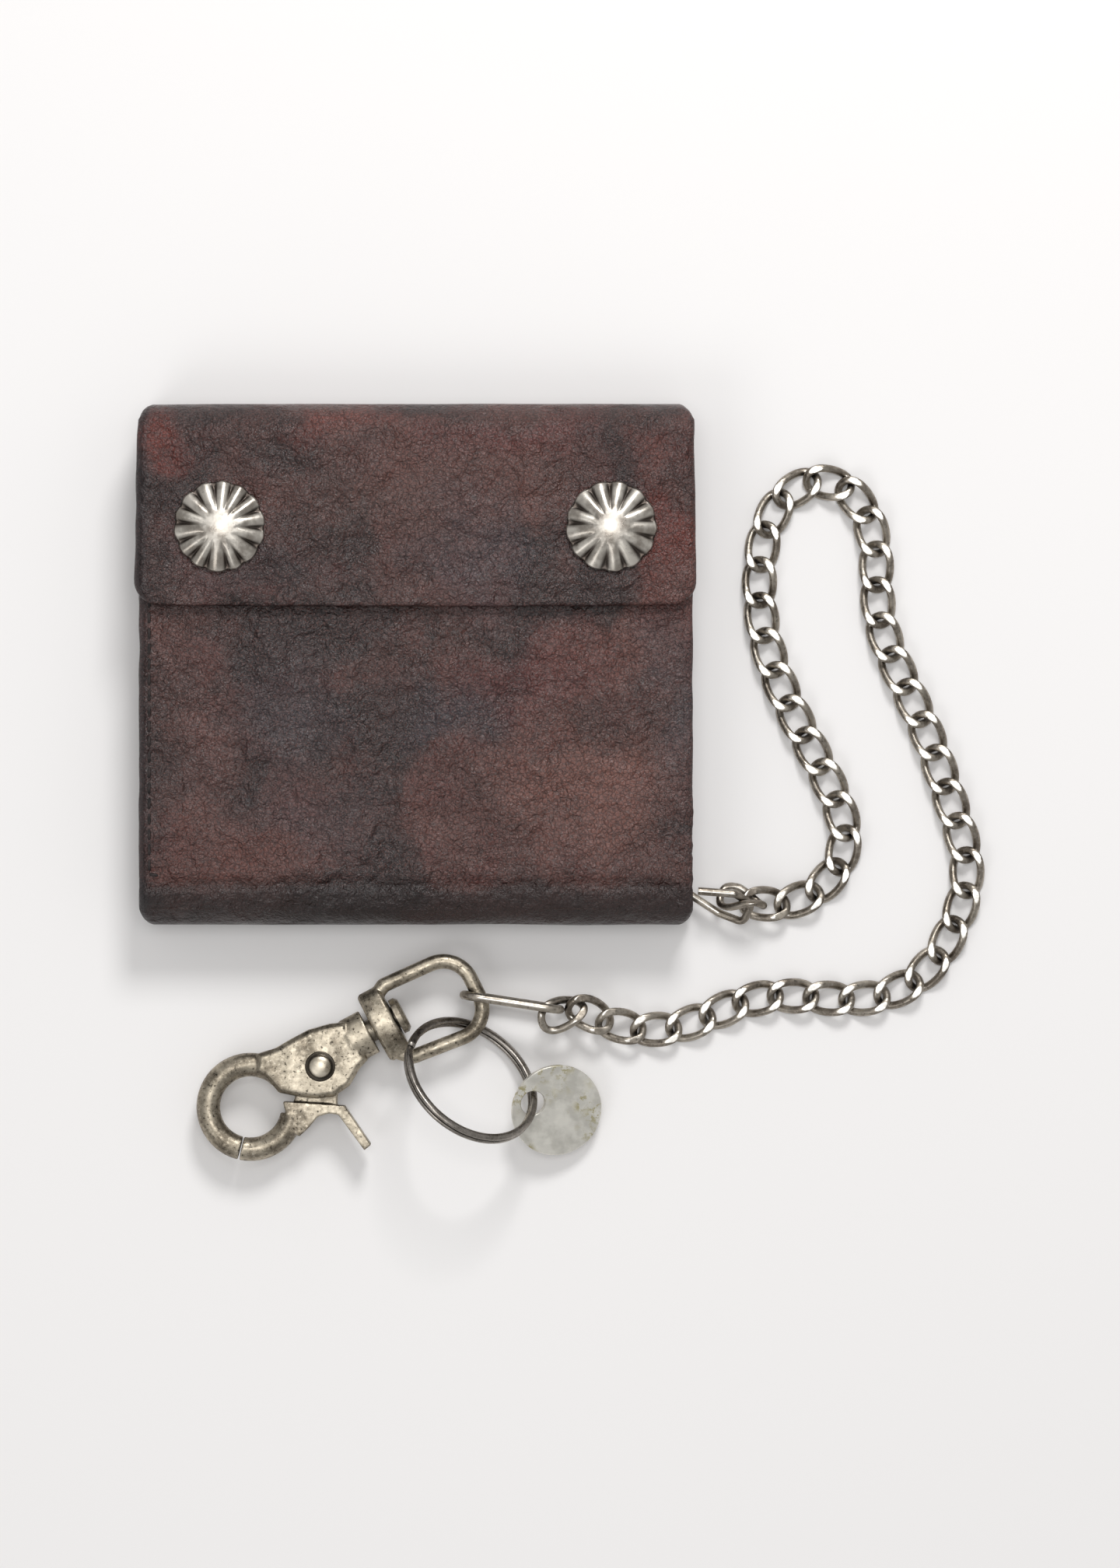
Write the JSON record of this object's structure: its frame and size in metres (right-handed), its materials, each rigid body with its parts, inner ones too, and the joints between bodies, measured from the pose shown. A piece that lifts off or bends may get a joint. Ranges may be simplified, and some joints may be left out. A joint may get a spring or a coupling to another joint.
{
  "type": "chain wallet",
  "caption": "Folded leather wallet with a snapped flap, a loose curb chain, a trigger snap, a split key ring and a round tag.",
  "frame": {"origin": "centre of the flat back face of the wallet", "axes": "+X to the wallet's right, +Y towards the flap fold, +Z out of the front"},
  "size_m": [0.1822, 0.1625, 0.0258],
  "materials": {
    "outer_leather": "waxed, mottled",
    "lining_leather": "plain",
    "thread": "waxed thread",
    "silver_caps": "antique silver",
    "snap_brass": "satin",
    "chain_steel": "antique, filed flats",
    "ring_steel": "antique",
    "snap_metal": "antique cast",
    "spring_steel": "plain",
    "tag_nickel": "worn nickel"
  },
  "bodies": {
    "back_half": {"back_cover": "outer_leather", "bill_pocket_welt": "lining_leather", "bill_pocket_lining": "lining_leather", "card_pocket_1": "lining_leather", "card_pocket_2": "lining_leather", "eyelet": "snap_brass", "eyelet_washer": "snap_brass"},
    "top_fold": {"top_fold": "outer_leather"},
    "flap": {"flap_panel": "outer_leather", "snap_sockets": "snap_brass", "snap_caps": "silver_caps"},
    "spine": {"spine_fold": "outer_leather"},
    "front_half": {"front_panel": "outer_leather", "front_stitching": "thread", "coin_pocket_welt": "lining_leather", "coin_pocket_lining": "lining_leather", "snap_studs": "snap_brass", "stud_backs": "snap_brass"},
    "wallet_ring": {"wallet_ring": "chain_steel"},
    "first_link": {"chain_first_link": "chain_steel"},
    "chain_1": {"chain_run_1": "chain_steel"},
    "chain_2": {"chain_run_2": "chain_steel"},
    "chain_3": {"chain_run_3": "chain_steel"},
    "chain_4": {"chain_run_4": "chain_steel"},
    "chain_5": {"chain_run_5": "chain_steel"},
    "chain_6": {"chain_run_6": "chain_steel"},
    "chain_7": {"chain_run_7": "chain_steel"},
    "chain_8": {"chain_run_8": "chain_steel"},
    "twisted_link": {"chain_twisted_link": "chain_steel"},
    "last_link": {"chain_last_link": "chain_steel"},
    "oval_ring": {"oval_ring": "chain_steel"},
    "swivel_eye": {"swivel_eye": "snap_metal"},
    "snap_body": {"snap_body": "snap_metal", "swivel_post": "snap_metal", "snap_rivet": "snap_metal", "trigger_spring": "spring_steel"},
    "trigger": {"trigger": "snap_metal"},
    "key_ring": {"key_ring": "ring_steel"},
    "tag": {"tag": "tag_nickel"}
  },
  "joints": [
    {"name": "flap_open", "type": "hinge", "parent": "back_half", "child": "top_fold", "pos_m": [0, 0.054, 0.0018], "axis": [-1, 0, 0], "range_deg": [0, 85]},
    {"name": "flap_fold", "type": "hinge", "parent": "top_fold", "child": "flap", "pos_m": [0, 0.054, 0.019], "axis": [-1, 0, 0], "range_deg": [0, 85]},
    {"name": "cover_open", "type": "hinge", "parent": "back_half", "child": "spine", "pos_m": [0, -0.054, 0.0018], "axis": [1, 0, 0], "range_deg": [0, 45]},
    {"name": "cover_fold", "type": "hinge", "parent": "spine", "child": "front_half", "pos_m": [0, -0.054, 0.0164], "axis": [1, 0, 0], "range_deg": [0, 45]},
    {"name": "wallet_ring_swing", "type": "hinge", "parent": "back_half", "child": "wallet_ring", "pos_m": [0.0532, -0.0456, 0.006], "axis": [0, 0, 1], "range_deg": [-4, 2]},
    {"name": "first_link_turn", "type": "hinge", "parent": "wallet_ring", "child": "first_link", "pos_m": [0.0713, -0.0523, 0.006], "axis": [0, 0, 1], "range_deg": [-3, 2]},
    {"name": "chain_bend_1", "type": "hinge", "parent": "first_link", "child": "chain_1", "pos_m": [0.0712, -0.051, 0.0038], "axis": [0, 0, 1], "range_deg": [-3, 3]},
    {"name": "chain_bend_2", "type": "hinge", "parent": "chain_1", "child": "chain_2", "pos_m": [0.09045, -0.02882, 0.00145], "axis": [0, 0, -1], "range_deg": [-10, 4]},
    {"name": "chain_bend_3", "type": "hinge", "parent": "chain_2", "child": "chain_3", "pos_m": [0.07484, 0.00641, 0.00145], "axis": [0, 0, 1], "range_deg": [-3, 8]},
    {"name": "chain_bend_4", "type": "hinge", "parent": "chain_3", "child": "chain_4", "pos_m": [0.0751, 0.0294, 0.00145], "axis": [0, 0, -1], "range_deg": [-12, 4]},
    {"name": "chain_bend_5", "type": "hinge", "parent": "chain_4", "child": "chain_5", "pos_m": [0.09973, 0.00968, 0.00145], "axis": [0, 0, 1], "range_deg": [-2, 12]},
    {"name": "chain_bend_6", "type": "hinge", "parent": "chain_5", "child": "chain_6", "pos_m": [0.114, -0.02616, 0.00145], "axis": [0, 0, -1], "range_deg": [-12, 2]},
    {"name": "chain_bend_7", "type": "hinge", "parent": "chain_6", "child": "chain_7", "pos_m": [0.11257, -0.06279, 0.00145], "axis": [0, 0, 1], "range_deg": [-2, 12]},
    {"name": "chain_bend_8", "type": "hinge", "parent": "chain_7", "child": "chain_8", "pos_m": [0.07719, -0.07116, 0.00145], "axis": [0, 0, -1], "range_deg": [-12, 4]},
    {"name": "twisted_link_turn", "type": "hinge", "parent": "chain_8", "child": "twisted_link", "pos_m": [0.0403, -0.0767, 0.0036], "axis": [0, 0, -1], "range_deg": [-12, 8]},
    {"name": "last_link_turn", "type": "hinge", "parent": "twisted_link", "child": "last_link", "pos_m": [0.0344, -0.0735, 0.0051], "axis": [0, 0, 1], "range_deg": [-8, 5]},
    {"name": "oval_ring_turn", "type": "hinge", "parent": "last_link", "child": "oval_ring", "pos_m": [0.0308, -0.0741, 0.006], "axis": [0, 0, -1], "range_deg": [-12, 10]},
    {"name": "eye_turn", "type": "hinge", "parent": "oval_ring", "child": "swivel_eye", "pos_m": [0.0115, -0.0712, 0.006], "axis": [0, 0, 1], "range_deg": [-10, 8]},
    {"name": "swivel", "type": "hinge", "parent": "swivel_eye", "child": "snap_body", "pos_m": [-0.007, -0.0771, 0.006], "axis": [0.8829, 0.4695, 0], "continuous": true},
    {"name": "trigger_pull", "type": "hinge", "parent": "snap_body", "child": "trigger", "pos_m": [-0.0207, -0.08625, 0.006], "axis": [0, 0, 1], "range_deg": [0, 25], "stiffness_Nm_per_rad": 0.02, "springref_deg": -17.19},
    {"name": "key_ring_swing", "type": "hinge", "parent": "swivel_eye", "child": "key_ring", "pos_m": [0.003, -0.082, 0.006], "axis": [0, 0, 1], "range_deg": [-2, 8]},
    {"name": "tag_swing", "type": "hinge", "parent": "key_ring", "child": "tag", "pos_m": [0.025, -0.094, 0.0075], "axis": [0, 0, 1], "range_deg": [-10, 8]}
  ],
  "couplings": [
    {"joint": "flap_fold", "follows": "flap_open", "ratio": 1},
    {"joint": "cover_fold", "follows": "cover_open", "ratio": 1}
  ]
}
